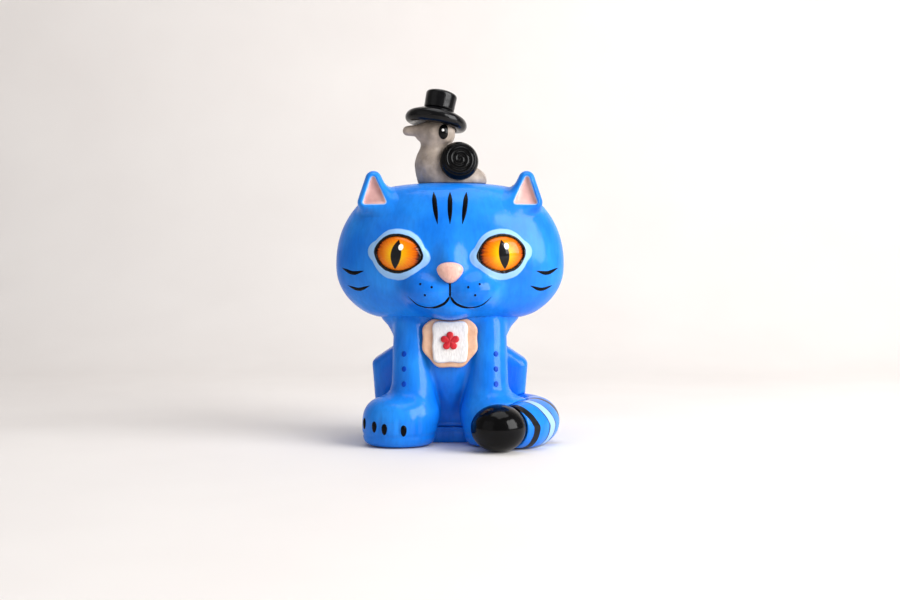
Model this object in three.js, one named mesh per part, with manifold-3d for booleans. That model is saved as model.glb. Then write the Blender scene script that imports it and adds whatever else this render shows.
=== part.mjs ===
// A seated cat figure that carries a small snail in a hat on its head.
// Head and body are two hollow gypsum castings that meet at a neck spigot. The ears, tail,
// plaque, snail and hat are modelled pieces, doweled and glued on, and the eyes are domed
// cabochons in sockets. Units are millimetres, +Z is up and the figure faces -Y.
// The origin is the middle of the plinth's underside.
import * as THREE from "three";
import { mergeVertices } from "three/addons/utils/BufferGeometryUtils.js";
import Module from "manifold-3d";

const wasm = await Module();
wasm.setup();

// ---------------------------------------------------------------- driving dimensions

// Fits
const GLUE_GAP = 0.35; // between neighbouring pieces
const PIN_BURIAL = 9; // how far a dowel reaches into each piece
const EMBED = 1.5; // how far a small glued piece sinks into what carries it

// Plinth under the body
const PLINTH_HEIGHT = 11;
const PLINTH_STEP = 4; // height of the plug that enters the body
const PLINTH_PROUD = 1.5; // how far the plinth stands out past the torso

// Body casting
const BODY_WALL = 7;
const NECK_HEIGHT = 88; // floor to the joint face under the head
const TORSO_HALF_WIDTH = 38;
const TORSO_FRONT = 23;
const FOOT_FRONT = 13; // the torso's front at its foot, between the paws
const TORSO_BACK = 36;
const SPIGOT_RADIUS = 20;
const SPIGOT_HEIGHT = 11;
const SPIGOT_BORE = 13;
const LEG_RADIUS = 15.5;
const LEG_SPREAD = 24; // half the distance between the shoulders
const ANKLE_SPREAD = 26;
const LEG_FRONT = 17; // how far the leg's axis stands forward
const PAW_HALF_WIDTH = 25.5;
const PAW_HALF_LENGTH = 21;
const PAW_HEIGHT = 34;
const PAW_SPREAD = 35;
const PAW_FORWARD = 26;
const HAUNCH_HALF_WIDTH = 55; // middle of the body to the haunch's flat side
const HAUNCH_HEIGHT = 62;
const HAUNCH_FRONT = 4;
const HAUNCH_LENGTH = 35;
const HAUNCH_CHAMFER = 10;

// Head casting
const HEAD_WALL = 7;
const HEAD_OVERHANG = 4; // how far the jaw hangs below the neck joint
const HEAD_HEIGHT = 95;
const CHEEK_HALF_WIDTH = 80.5;
const CHEEK_RISE = 38; // jaw to the cheek tips
const CROWN_HALF_WIDTH = 62;
const HEAD_FRONT = 42;
const HEAD_BACK = 44;
const MUZZLE_REACH = 51; // neck axis to the front of the whisker pads
const MUZZLE_RISE = 21; // jaw to the middle of the whisker pads
const PAD_HALF_WIDTH = 18;
const PAD_SPREAD = 14;
const CHIN_RADIUS = 13;

// Ears
const EAR_WIDTH = 30;
const EAR_HEIGHT = 31;
const EAR_THICKNESS = 11;
const EAR_SPREAD = 48;
const EAR_SINK = 22; // how far the ear's foot lies below the crown
const EAR_SET_BACK = -17;
const EAR_LEAN = 0.16;
const EAR_TURN = 0.3;
const EAR_PIN_RADIUS = 2.5;

// Face
const EYE_WIDTH = 35;
const EYE_HEIGHT = 25;
const EYE_THICKNESS = 13;
const EYE_SPREAD = 34;
const EYE_RISE = 45; // jaw to the middle of the eyes
const EYE_TILT = 0.14;
const EYE_TURN = 0.3;
const NOSE_WIDTH = 20;
const NOSE_HEIGHT = 14;
const NOSE_DEPTH = 9;
const NOSE_RISE = 33;

// Plaque on the chest, its tile and the flower on the tile
const PLAQUE_WIDTH = 38;
const PLAQUE_HEIGHT = 33;
const PLAQUE_THICKNESS = 4;
const PLAQUE_TOP = NECK_HEIGHT - 1;
const PLAQUE_STAND_OFF = 6; // chest to the plaque's front
const PLAQUE_LEAN = 0.12;
const PLAQUE_PIN_RADIUS = 1.5;
const TILE_WIDTH = 24;
const TILE_HEIGHT = 28;
const TILE_THICKNESS = 2.4;
const FLOWER_RADIUS = 6.5;
const FLOWER_THICKNESS = 1.2;
const PETALS = 5;

// Tail
const TAIL_RADIUS = 16.4;
const TAIL_FLAT = 0.6; // how much of its round lies below the floor and is flattened
const TAIL_REACH = 58.7; // neck axis to the tail's outermost centreline
const TAIL_PIN_RADIUS = 3;
const TIP_RADIUS = 18.4;
const TIP_HALF_HEIGHT = 16.6;
const TIP_OFFSET = 31.9;
const TIP_FORWARD = 55.5;
const TIP_PIN_RADIUS = 3;

// Snail
const SNAIL_FOOT_LENGTH = 48;
const SNAIL_FOOT_HEIGHT = 10;
const SNAIL_FOOT_WIDTH = 25;
const SNAIL_HEIGHT = 33.8; // crown to the middle of the snail's head
const SNAIL_NECK_RADIUS = 9.3;
const SNAIL_CHEST_RADIUS = 12.5;
const SNAIL_HEAD_RADIUS = 12.4;
const SNAIL_NECK_SHIFT = 12; // how far the neck stands left of the middle
const SNOUT_LENGTH = 24;
const SNOUT_RADIUS = 3.7;
const SNAIL_EYE_WIDTH = 8.6;
const SNAIL_EYE_HEIGHT = 10.8;
const SNAIL_EYE_DEPTH = 6;
const SNAIL_PIN_RADIUS = 2.5;
const SHELL_RADIUS = 13.2;
const SHELL_THICKNESS = 12;
const SHELL_RISE = 14.2; // crown to the shell's middle
const SHELL_SHIFT = 6.2;
const SHELL_FORWARD = 11.5;
const SHELL_TURN = 0.14;
const SHELL_LIFT = 0.2;
const SHELL_WHORLS = 3;

// Hat
const BRIM_RADIUS = 21.6;
const BRIM_THICKNESS = 8;
const BRIM_RISE = 12; // the brim's underside to the foot of the crown
const CROWN_TOP_RADIUS = 11.2;
const CROWN_FOOT_RADIUS = 10.8;
const CROWN_HEIGHT = 14.4;
const CROWN_DOME = 2;
const HAT_TILT = 0.19;
const HAT_NOD = 0.07;
const HAT_PIN_RADIUS = 1.5;

// ---------------------------------------------------------------- solids from geometry

const X_AXIS = new THREE.Vector3(1, 0, 0);
const Y_AXIS = new THREE.Vector3(0, 1, 0);

const at = (x, y, z) => new THREE.Vector3(x, y, z);

// A geometry as a manifold solid, with its shared corners merged.
function solid(geometry) {
  const bare = new THREE.BufferGeometry();
  bare.setAttribute("position", geometry.getAttribute("position"));
  bare.setIndex(geometry.getIndex());
  const merged = mergeVertices(bare, 1e-3);
  return new wasm.Manifold(
    new wasm.Mesh({
      numProp: 3,
      vertProperties: merged.getAttribute("position").array,
      triVerts: new Uint32Array(merged.getIndex().array),
    }),
  );
}

const join = (solids) => solids.reduce((sum, next) => sum.add(next));

const cut = (from, ...tools) => tools.reduce((left, tool) => left.subtract(tool), from);

// A skin through stacked oval sections, made by drawing a lathe's rings out of round. Each
// key is [height, half width, front depth, back depth, squareness], and rings between the
// keys follow a cubic. The first and last key close the skin. The sides move out by grow and
// the two ends by endGrow.
function skin(keys, rings, sides, grow = 0, endGrow = grow) {
  const heights = keys.map((key) => key[0]);
  const curve = new THREE.CubicInterpolant(heights, keys.flat(), 5);
  const low = heights[0];
  const high = heights.at(-1);
  const levels = [];
  for (let i = 0; i <= rings; i++) {
    const share = (1 - Math.cos((Math.PI * i) / rings)) / 2;
    const level = [...curve.evaluate(low + (high - low) * share)];
    level[0] += (2 * share - 1) * endGrow;
    levels.push(level);
  }
  const profile = [at(0, levels[0][0], 0)];
  profile.push(...levels.map((level) => at(1, level[0], 0)));
  profile.push(at(0, levels.at(-1)[0], 0));
  const geometry = new THREE.LatheGeometry(profile, sides);
  const position = geometry.getAttribute("position");
  for (let i = 0; i < position.count; i++) {
    const ring = Math.min(Math.max((i % profile.length) - 1, 0), rings);
    const onAxis = i % profile.length === 0 || i % profile.length === profile.length - 1;
    const [, halfWidth, front, back, squareness] = levels[ring];
    const angle = (2 * Math.PI * Math.floor(i / profile.length)) / sides;
    const across = Math.sin(angle);
    const forward = Math.cos(angle);
    const depth = (forward > 0 ? front : back) + grow;
    const power = 2 / squareness;
    const reach = onAxis ? 0 : 1;
    const x = reach * (halfWidth + grow) * Math.sign(across) * Math.abs(across) ** power;
    const y = -reach * depth * Math.sign(forward) * Math.abs(forward) ** power;
    position.setXYZ(i, x, y, position.getY(i));
  }
  return solid(geometry);
}

// An ellipsoid, turned about its own centre by a quaternion if one is given.
function ellipsoid(centre, radii, sides, grow = 0, turn = new THREE.Quaternion()) {
  const geometry = new THREE.SphereGeometry(1, sides, Math.round(sides * 0.6));
  geometry.scale(radii.x + grow, radii.y + grow, radii.z + grow);
  geometry.applyQuaternion(turn);
  geometry.translate(centre.x, centre.y, centre.z);
  return solid(geometry);
}

// A round rod between two points: a dowel, its hole, a spigot or a bore.
function rod(from, to, radius, sides = 12, grow = 0) {
  const along = to.clone().sub(from);
  const length = along.length() + 2 * grow;
  const geometry = new THREE.CylinderGeometry(radius + grow, radius + grow, length, sides);
  geometry.applyQuaternion(new THREE.Quaternion().setFromUnitVectors(Y_AXIS, along.normalize()));
  const middle = from.clone().add(to).multiplyScalar(0.5);
  geometry.translate(middle.x, middle.y, middle.z);
  return solid(geometry);
}

// A rod with round ends.
function limb(from, to, radius, sides, grow = 0) {
  const along = to.clone().sub(from);
  const geometry = new THREE.CapsuleGeometry(radius + grow, along.length(), 4, sides);
  geometry.applyQuaternion(new THREE.Quaternion().setFromUnitVectors(Y_AXIS, along.normalize()));
  const middle = from.clone().add(to).multiplyScalar(0.5);
  geometry.translate(middle.x, middle.y, middle.z);
  return solid(geometry);
}

// A flat outline, drawn as width and height and seen from the front, thickened in depth.
// Its front face lies at y = 0 before it is moved.
function slab(outline, thickness, bevel, curveSegments = 6) {
  const geometry = new THREE.ExtrudeGeometry(outline, {
    depth: thickness - 2 * bevel,
    bevelThickness: bevel,
    bevelSize: bevel,
    bevelOffset: -bevel,
    bevelSegments: 1,
    curveSegments,
  });
  geometry.translate(0, 0, bevel - thickness);
  geometry.rotateX(Math.PI / 2);
  return geometry;
}

function roundedRectangle(width, height, corner) {
  const shape = new THREE.Shape();
  const x = width / 2;
  const y = height / 2;
  shape.moveTo(-x + corner, -y);
  shape.lineTo(x - corner, -y);
  shape.quadraticCurveTo(x, -y, x, -y + corner);
  shape.lineTo(x, y - corner);
  shape.quadraticCurveTo(x, y, x - corner, y);
  shape.lineTo(-x + corner, y);
  shape.quadraticCurveTo(-x, y, -x, y - corner);
  shape.lineTo(-x, -y + corner);
  shape.quadraticCurveTo(-x, -y, -x + corner, -y);
  return shape;
}

// Everything below the floor.
function floorBlock() {
  const size = 400;
  return solid(new THREE.BoxGeometry(size, size, size).translate(0, 0, -size / 2));
}

// ---------------------------------------------------------------- body and plinth

const JAW = NECK_HEIGHT - HEAD_OVERHANG; // the head's lowest height
const NECK_AXIS_BACK = (TORSO_BACK - TORSO_FRONT) / 2 - 2;

// The torso between two levels, its sides inset or grown. Its top is the flat neck joint.
function torso(foot, top, grow = 0, sides = 28) {
  const w = TORSO_HALF_WIDTH;
  const height = (share) => foot + (top - foot) * share;
  return skin(
    [
      [foot, w - 2, FOOT_FRONT, TORSO_BACK, 2.5],
      [height(0.25), w, (FOOT_FRONT + TORSO_FRONT) / 2, TORSO_BACK + 1, 2.5],
      [height(0.6), w - 1, TORSO_FRONT, TORSO_BACK - 3, 2.3],
      [height(0.85), w, TORSO_FRONT, TORSO_BACK - 7, 2.2],
      [top, w + 2, TORSO_FRONT + 1, TORSO_BACK - 8, 2.2],
    ],
    8,
    sides,
    grow,
    0,
  );
}

function legs(grow = 0) {
  return [-1, 1].map((side) =>
    limb(
      at(side * LEG_SPREAD, -LEG_FRONT + 4, NECK_HEIGHT - LEG_RADIUS - 3),
      at(side * ANKLE_SPREAD, -LEG_FRONT - 5, LEG_RADIUS + 4),
      LEG_RADIUS,
      14,
      grow,
    ),
  );
}

function paws(grow = 0) {
  const rise = PAW_HEIGHT * 0.42; // the widest level of a paw
  return [-1, 1].map((side) =>
    ellipsoid(
      at(side * PAW_SPREAD, -PAW_FORWARD, rise),
      at(PAW_HALF_WIDTH, PAW_HALF_LENGTH, PAW_HEIGHT - rise),
      20,
      grow,
    ),
  );
}

// The chamfered haunch blocks behind the legs.
function haunches(grow = 0) {
  return [-1, 1].map((side) => {
    const inner = TORSO_HALF_WIDTH * 0.5;
    const outer = HAUNCH_HALF_WIDTH + grow;
    const top = HAUNCH_HEIGHT + grow;
    const outline = new THREE.Shape();
    outline.moveTo(side * inner, 0);
    outline.lineTo(side * (outer - 3), 0);
    outline.lineTo(side * outer, 6);
    outline.lineTo(side * outer, top - HAUNCH_CHAMFER);
    outline.lineTo(side * (outer - HAUNCH_CHAMFER), top);
    outline.lineTo(side * inner, top);
    const geometry = slab(outline, HAUNCH_LENGTH + 2 * grow, 2.5);
    geometry.translate(0, HAUNCH_FRONT - grow, 0);
    return solid(geometry);
  });
}

function spigot(grow = 0) {
  return rod(
    at(0, NECK_AXIS_BACK, NECK_HEIGHT - 2),
    at(0, NECK_AXIS_BACK, NECK_HEIGHT + SPIGOT_HEIGHT),
    SPIGOT_RADIUS,
    24,
    grow,
  );
}

function plinthSlab(grow = 0) {
  const w = TORSO_HALF_WIDTH - 2 + PLINTH_PROUD;
  const f = FOOT_FRONT + PLINTH_PROUD;
  const b = TORSO_BACK + PLINTH_PROUD;
  return skin(
    [
      [0, w - 1, f - 1, b - 1, 2.5],
      [2, w, f, b, 2.5],
      [PLINTH_HEIGHT - 2, w, f, b, 2.5],
      [PLINTH_HEIGHT, w - 1, f - 1, b - 1, 2.5],
    ],
    4,
    28,
    grow,
  );
}

// The hollow inside the body, open at the foot. The plinth's plug fits its mouth.
const HOLLOW_TOP = NECK_HEIGHT - BODY_WALL;

function bodyHollow() {
  return torso(PLINTH_HEIGHT - 1, HOLLOW_TOP, -BODY_WALL, 20);
}

function plinthPlug() {
  const plugTop = PLINTH_HEIGHT + PLINTH_STEP;
  const ceiling = solid(
    new THREE.BoxGeometry(200, 200, 200).translate(0, 0, plugTop + 100),
  );
  return cut(torso(PLINTH_HEIGHT - 1, HOLLOW_TOP, -BODY_WALL - GLUE_GAP, 20), ceiling);
}

// The tail's centreline, from inside the right haunch to the middle of its tip.
const TAIL_RISE = TAIL_RADIUS - TAIL_FLAT;
const TAIL_LINE = new THREE.CatmullRomCurve3([
  at(TAIL_REACH - 21.5, 20, TAIL_RISE),
  at(TAIL_REACH - 7, 8, TAIL_RISE),
  at(TAIL_REACH, -11, TAIL_RISE),
  at(TAIL_REACH - 4.5, -31, TAIL_RISE),
  at(TIP_OFFSET + 10, -TIP_FORWARD + 7, TAIL_RISE),
  at(TIP_OFFSET, -TIP_FORWARD, TAIL_RISE),
]);

function tailSweep(grow = 0) {
  const section = new THREE.Shape();
  section.absarc(0, 0, TAIL_RADIUS + grow, 0, 2 * Math.PI);
  return solid(
    new THREE.ExtrudeGeometry(section, {
      steps: 14,
      extrudePath: TAIL_LINE,
      bevelEnabled: false,
      curveSegments: 8,
    }),
  );
}

const TIP_CENTRE = at(TIP_OFFSET, -TIP_FORWARD, TIP_HALF_HEIGHT - TAIL_FLAT);

function tailTipBall(grow = 0) {
  return ellipsoid(TIP_CENTRE, at(TIP_RADIUS, TIP_RADIUS, TIP_HALF_HEIGHT), 20, grow);
}

// The body's outside, without its hollow.
function bodyBlock(grow = 0) {
  const front = [...legs(grow), ...paws(grow)].map((piece) =>
    cut(piece, tailSweep(GLUE_GAP - grow), tailTipBall(GLUE_GAP - grow)),
  );
  const neckTop = solid(
    new THREE.BoxGeometry(200, 200, 100).translate(0, 0, NECK_HEIGHT + grow + 50),
  );
  const trunk = torso(PLINTH_HEIGHT - 2, NECK_HEIGHT + grow, grow);
  return join([cut(join([trunk, ...front]), neckTop), ...haunches(grow), spigot(grow)]);
}

// ---------------------------------------------------------------- head

const CROWN = JAW + HEAD_HEIGHT; // the head's highest level

function headBlock(grow = 0, sides = 36) {
  const cheek = JAW + CHEEK_RISE;
  const w = CHEEK_HALF_WIDTH;
  const c = CROWN_HALF_WIDTH;
  const f = HEAD_FRONT;
  const b = HEAD_BACK;
  return skin(
    [
      [JAW, c * 0.42, f * 0.4, b * 0.42, 2.2],
      [JAW + 4, c * 0.78, f * 0.68, b * 0.68, 2.2],
      [JAW + CHEEK_RISE * 0.32, w * 0.84, f * 0.86, b * 0.86, 2.1],
      [JAW + CHEEK_RISE * 0.68, w * 0.955, f * 0.97, b * 0.97, 1.9],
      [cheek, w, f, b, 1.75],
      [cheek + HEAD_HEIGHT * 0.085, w * 0.93, f * 1.01, b * 1.02, 1.85],
      [cheek + HEAD_HEIGHT * 0.22, (w + 3 * c) / 4, f * 1.02, b * 1.03, 2.1],
      [CROWN - HEAD_HEIGHT * 0.2, c, f * 0.95, b * 0.97, 2.3],
      [CROWN - HEAD_HEIGHT * 0.07, c * 0.9, f * 0.74, b * 0.8, 2.4],
      [CROWN, c * 0.62, f * 0.4, b * 0.48, 2.4],
    ],
    13,
    sides,
    grow,
  );
}

// Whisker pads and chin.
function muzzle(grow = 0) {
  const rise = JAW + MUZZLE_RISE;
  const pads = [-1, 1].map((side) =>
    ellipsoid(
      at(side * PAD_SPREAD, -MUZZLE_REACH + 14, rise),
      at(PAD_HALF_WIDTH, 14, 12.5),
      16,
      grow,
    ),
  );
  const chin = ellipsoid(
    at(0, -MUZZLE_REACH + CHIN_RADIUS + 4, rise - 10),
    at(CHIN_RADIUS * 1.1, CHIN_RADIUS, CHIN_RADIUS * 0.8),
    14,
    grow,
  );
  const bridge = ellipsoid(at(0, -MUZZLE_REACH + 19, rise + 11), at(13, 17, 14), 14, grow);
  return [...pads, chin, bridge];
}

const headOutside = (grow = 0) => join([headBlock(grow), ...muzzle(grow)]);

// A rounded triangle for the ear, leaning to its outer side.
function earOutline(side) {
  const half = EAR_WIDTH / 2;
  const tip = side * half * 0.25;
  const shape = new THREE.Shape();
  shape.moveTo(-half, 0);
  shape.lineTo(half, 0);
  shape.quadraticCurveTo(half + tip * 0.4, EAR_HEIGHT * 0.75, tip + half * 0.42, EAR_HEIGHT * 0.95);
  shape.quadraticCurveTo(tip, EAR_HEIGHT * 1.06, tip - half * 0.42, EAR_HEIGHT * 0.95);
  shape.quadraticCurveTo(-half + tip * 0.4, EAR_HEIGHT * 0.75, -half, 0);
  return shape;
}

function earTurn(side) {
  return new THREE.Quaternion().setFromEuler(
    new THREE.Euler(0, side * EAR_LEAN, side * EAR_TURN, "ZYX"),
  );
}

const earFoot = (side) => at(side * EAR_SPREAD, EAR_SET_BACK, CROWN - EAR_SINK);

function earBlank(side) {
  const geometry = slab(earOutline(side), EAR_THICKNESS, 2.6, 4);
  geometry.translate(0, -EAR_THICKNESS / 2, 0);
  geometry.applyQuaternion(earTurn(side));
  const foot = earFoot(side);
  geometry.translate(foot.x, foot.y, foot.z);
  return solid(geometry);
}

// The hollow of the ear that faces forward.
function earScoop(side) {
  const centre = at(side * 1.5, -EAR_THICKNESS / 2, EAR_HEIGHT * 0.42);
  centre.applyQuaternion(earTurn(side)).add(earFoot(side));
  return ellipsoid(
    centre,
    at(EAR_WIDTH * 0.31, EAR_THICKNESS * 0.5, EAR_HEIGHT * 0.42),
    16,
    0,
    earTurn(side),
  );
}

function earPin(side, grow = 0) {
  const foot = earFoot(side);
  const inward = at(-side * 0.35, 0.1, -1).normalize();
  const middle = foot.clone().add(at(-side * EAR_WIDTH * 0.16, 2, EAR_SINK * 0.62));
  return rod(
    middle.clone().addScaledVector(inward, -PIN_BURIAL * 0.6),
    middle.clone().addScaledVector(inward, PIN_BURIAL),
    EAR_PIN_RADIUS,
    10,
    grow,
  );
}

// An eye is a thick lens with pointed corners, turned to lie along the face.
function eye(side, grow = 0) {
  const geometry = new THREE.SphereGeometry(1, 18, 10);
  const position = geometry.getAttribute("position");
  for (let i = 0; i < position.count; i++) {
    const x = position.getX(i);
    const corner = 1 - 0.35 * x * x * x * x;
    position.setXYZ(
      i,
      x * (EYE_WIDTH / 2 + grow),
      position.getY(i) * corner * (EYE_THICKNESS / 2 + grow),
      position.getZ(i) * corner * (EYE_HEIGHT / 2 + grow),
    );
  }
  geometry.rotateY(-side * EYE_TILT);
  geometry.rotateZ(side * EYE_TURN);
  geometry.translate(
    side * EYE_SPREAD,
    -HEAD_FRONT * 0.88 + EMBED,
    JAW + EYE_RISE,
  );
  return solid(geometry);
}

// A soft triangle with its point down.
function nose(grow = 0) {
  const geometry = new THREE.SphereGeometry(1, 14, 9);
  const position = geometry.getAttribute("position");
  for (let i = 0; i < position.count; i++) {
    const z = position.getZ(i);
    position.setXYZ(
      i,
      position.getX(i) * (0.72 + 0.34 * z) * (NOSE_WIDTH / 2 + grow) * 1.1,
      position.getY(i) * (NOSE_DEPTH / 2 + grow),
      z * (NOSE_HEIGHT / 2 + grow),
    );
  }
  geometry.translate(0, -MUZZLE_REACH + EMBED, JAW + NOSE_RISE);
  return solid(geometry);
}

// The head's hollow is the outside of the head, inset, with the neck bore below it.
function headHollow() {
  return cut(
    headBlock(-HEAD_WALL, 24),
    ...[-1, 1].map((side) => eye(side, HEAD_WALL * 0.6)),
  );
}

// ---------------------------------------------------------------- plaque, tile and flower

// Turns a slab drawn upright so that it lies on the leaning chest.
function onChest(geometry, standOff) {
  geometry.rotateX(-PLAQUE_LEAN);
  geometry.translate(0, -TORSO_FRONT - standOff, PLAQUE_TOP - PLAQUE_HEIGHT / 2);
  return solid(geometry);
}

function plaque() {
  const outline = roundedRectangle(PLAQUE_WIDTH, PLAQUE_HEIGHT, PLAQUE_WIDTH * 0.24);
  return onChest(slab(outline, PLAQUE_THICKNESS + 4, 0.9, 4), PLAQUE_STAND_OFF);
}

function tile() {
  const outline = roundedRectangle(TILE_WIDTH, TILE_HEIGHT, 1.2);
  return onChest(
    slab(outline, TILE_THICKNESS, 0.5, 2),
    PLAQUE_STAND_OFF + GLUE_GAP + TILE_THICKNESS,
  );
}

function flower() {
  const shape = new THREE.Shape();
  const points = 8 * PETALS;
  for (let i = 0; i < points; i++) {
    const angle = (2 * Math.PI * i) / points;
    const radius = FLOWER_RADIUS * (0.78 + 0.22 * Math.cos(PETALS * angle));
    const x = radius * Math.sin(angle);
    const y = radius * Math.cos(angle);
    if (i === 0) shape.moveTo(x, y);
    else shape.lineTo(x, y);
  }
  return onChest(
    slab(shape, FLOWER_THICKNESS, 0.3),
    PLAQUE_STAND_OFF + 2 * GLUE_GAP + TILE_THICKNESS + FLOWER_THICKNESS,
  );
}

function plaquePin(grow = 0) {
  const height = PLAQUE_TOP - PLAQUE_HEIGHT * 0.5;
  return rod(
    at(0, -TORSO_FRONT - PLAQUE_STAND_OFF + PLAQUE_THICKNESS * 0.5, height),
    at(0, -TORSO_FRONT + BODY_WALL * 0.7, height),
    PLAQUE_PIN_RADIUS,
    10,
    grow,
  );
}

// ---------------------------------------------------------------- tail dowels

function tailPin(grow = 0) {
  const x = HAUNCH_HALF_WIDTH - TAIL_PIN_RADIUS * 3;
  return rod(
    at(x, HAUNCH_FRONT - PIN_BURIAL, TAIL_RISE),
    at(x, HAUNCH_FRONT + PIN_BURIAL, TAIL_RISE),
    TAIL_PIN_RADIUS,
    12,
    grow,
  );
}

function tailTipPin(grow = 0) {
  const inward = TAIL_LINE.getTangent(1);
  const seat = TIP_CENTRE.clone().addScaledVector(inward, -TIP_RADIUS);
  return rod(
    seat.clone().addScaledVector(inward, -PIN_BURIAL),
    seat.clone().addScaledVector(inward, PIN_BURIAL),
    TIP_PIN_RADIUS,
    12,
    grow,
  );
}

// ---------------------------------------------------------------- snail

const SNAIL_HEAD = at(-SNAIL_NECK_SHIFT + 3, -1, CROWN + SNAIL_HEIGHT);
const SHELL_CENTRE = at(SHELL_SHIFT, -SHELL_FORWARD, CROWN + SHELL_RISE);

function snailBlock(grow = 0) {
  const foot = ellipsoid(
    at(2, 1, CROWN + SNAIL_FOOT_HEIGHT * 0.25),
    at(SNAIL_FOOT_LENGTH / 2, SNAIL_FOOT_WIDTH / 2, SNAIL_FOOT_HEIGHT),
    16,
    grow,
  );
  const chest = ellipsoid(
    at(-SNAIL_NECK_SHIFT, 0, CROWN + SNAIL_CHEST_RADIUS * 0.9),
    at(SNAIL_CHEST_RADIUS, SNAIL_CHEST_RADIUS, SNAIL_CHEST_RADIUS * 1.25),
    14,
    grow,
  );
  const neck = limb(
    at(-SNAIL_NECK_SHIFT, 0, CROWN + SNAIL_CHEST_RADIUS),
    SNAIL_HEAD.clone().add(at(-1.5, 1, -2)),
    SNAIL_NECK_RADIUS,
    12,
    grow,
  );
  const head = ellipsoid(
    SNAIL_HEAD,
    at(SNAIL_HEAD_RADIUS, SNAIL_HEAD_RADIUS * 0.95, SNAIL_HEAD_RADIUS * 0.85),
    14,
    grow,
  );
  const snout = limb(
    SNAIL_HEAD.clone().add(at(-4, -1, 1.5)),
    SNAIL_HEAD.clone().add(at(-SNOUT_LENGTH + SNOUT_RADIUS, -2, 2)),
    SNOUT_RADIUS,
    8,
    grow,
  );
  return join([foot, chest, neck, head, snout]);
}

function snailEye(side, grow = 0) {
  const centre = SNAIL_HEAD.clone().add(
    at(SNAIL_HEAD_RADIUS * 0.42, side * SNAIL_HEAD_RADIUS * 0.83, 0),
  );
  const turn = new THREE.Quaternion().setFromAxisAngle(at(0, 0, 1), -side * 0.42);
  return ellipsoid(
    centre,
    at(SNAIL_EYE_WIDTH / 2, SNAIL_EYE_DEPTH / 2, SNAIL_EYE_HEIGHT / 2),
    12,
    grow,
    turn,
  );
}

// A domed disc with stepped rings, its axis pointing forward and a little up and to the right.
function snailShell(grow = 0) {
  const profile = [new THREE.Vector2(0, -SHELL_THICKNESS / 2 - grow)];
  const radius = SHELL_RADIUS + grow;
  profile.push(new THREE.Vector2(radius * 0.8, -SHELL_THICKNESS / 2 - grow));
  profile.push(new THREE.Vector2(radius, -SHELL_THICKNESS * 0.2));
  profile.push(new THREE.Vector2(radius, SHELL_THICKNESS * 0.12));
  for (let i = 0; i < SHELL_WHORLS; i++) {
    const outer = radius * (1 - (i + 0.12) / (SHELL_WHORLS + 0.6));
    const inner = radius * (1 - (i + 0.8) / (SHELL_WHORLS + 0.6));
    const rise = SHELL_THICKNESS * (0.3 + (0.2 * (i + 1)) / SHELL_WHORLS) + grow;
    profile.push(new THREE.Vector2(outer * 0.97, rise));
    profile.push(new THREE.Vector2(inner, rise * 0.92));
  }
  profile.push(new THREE.Vector2(0, SHELL_THICKNESS / 2 + grow));
  const geometry = new THREE.LatheGeometry(profile, 20);
  geometry.rotateZ(Math.PI);
  geometry.rotateX(-SHELL_LIFT);
  geometry.rotateZ(SHELL_TURN);
  geometry.translate(SHELL_CENTRE.x, SHELL_CENTRE.y, SHELL_CENTRE.z);
  return solid(geometry);
}

function snailPin(grow = 0) {
  const x = -SNAIL_NECK_SHIFT + 2;
  return rod(
    at(x, 0, CROWN - HEAD_WALL * 0.8),
    at(x, 0, CROWN + PIN_BURIAL),
    SNAIL_PIN_RADIUS,
    12,
    grow,
  );
}

// ---------------------------------------------------------------- hat

const HAT_SEAT = SNAIL_HEAD.clone().add(at(-1, 1, SNAIL_HEAD_RADIUS * 0.46));
const HAT_TURN = new THREE.Quaternion().setFromEuler(
  new THREE.Euler(-HAT_NOD, HAT_TILT, 0, "XYZ"),
);

// A closed turned profile of [radius, height] pairs, standing on the hat's seat.
function turnedHatPiece(pairs, sides) {
  const profile = pairs.map(([radius, height]) => new THREE.Vector2(radius, height));
  const geometry = new THREE.LatheGeometry(profile, sides);
  geometry.rotateX(Math.PI / 2);
  geometry.applyQuaternion(HAT_TURN);
  geometry.translate(HAT_SEAT.x, HAT_SEAT.y, HAT_SEAT.z);
  return solid(geometry);
}

function hatBrim() {
  const t = BRIM_THICKNESS;
  const r = BRIM_RADIUS;
  return turnedHatPiece(
    [
      [0, 0],
      [r - t * 0.45, 0],
      [r - t * 0.12, t * 0.2],
      [r, t * 0.5],
      [r - t * 0.12, t * 0.84],
      [r - t * 0.45, t * 1.05],
      [CROWN_FOOT_RADIUS + 1, BRIM_RISE],
      [0, BRIM_RISE],
    ],
    24,
  );
}

function hatCrown() {
  const foot = BRIM_RISE + GLUE_GAP;
  const top = foot + CROWN_HEIGHT;
  return turnedHatPiece(
    [
      [0, foot],
      [CROWN_FOOT_RADIUS, foot],
      [CROWN_TOP_RADIUS - 0.4, foot + CROWN_HEIGHT * 0.5],
      [CROWN_TOP_RADIUS, top - CROWN_DOME - 1],
      [CROWN_TOP_RADIUS - 1, top - CROWN_DOME],
      [CROWN_TOP_RADIUS * 0.5, top - CROWN_DOME * 0.25],
      [0, top],
    ],
    20,
  );
}

function hatPin(grow = 0) {
  const up = at(0, 0, 1).applyQuaternion(HAT_TURN);
  return rod(
    HAT_SEAT.clone().addScaledVector(up, -PIN_BURIAL * 0.6),
    HAT_SEAT.clone().addScaledVector(up, BRIM_RISE + PIN_BURIAL * 0.7),
    HAT_PIN_RADIUS,
    10,
    grow,
  );
}

// ---------------------------------------------------------------- assembly

const figure = new THREE.Group();
const floor = floorBlock();

function add(name, made, material) {
  const mesh = made.getMesh();
  const geometry = new THREE.BufferGeometry();
  geometry.setAttribute("position", new THREE.BufferAttribute(mesh.vertProperties, 3));
  geometry.setIndex(new THREE.BufferAttribute(mesh.triVerts, 1));
  geometry.computeVertexNormals();
  const node = new THREE.Mesh(geometry, material);
  node.name = name;
  figure.add(node);
}

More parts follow.
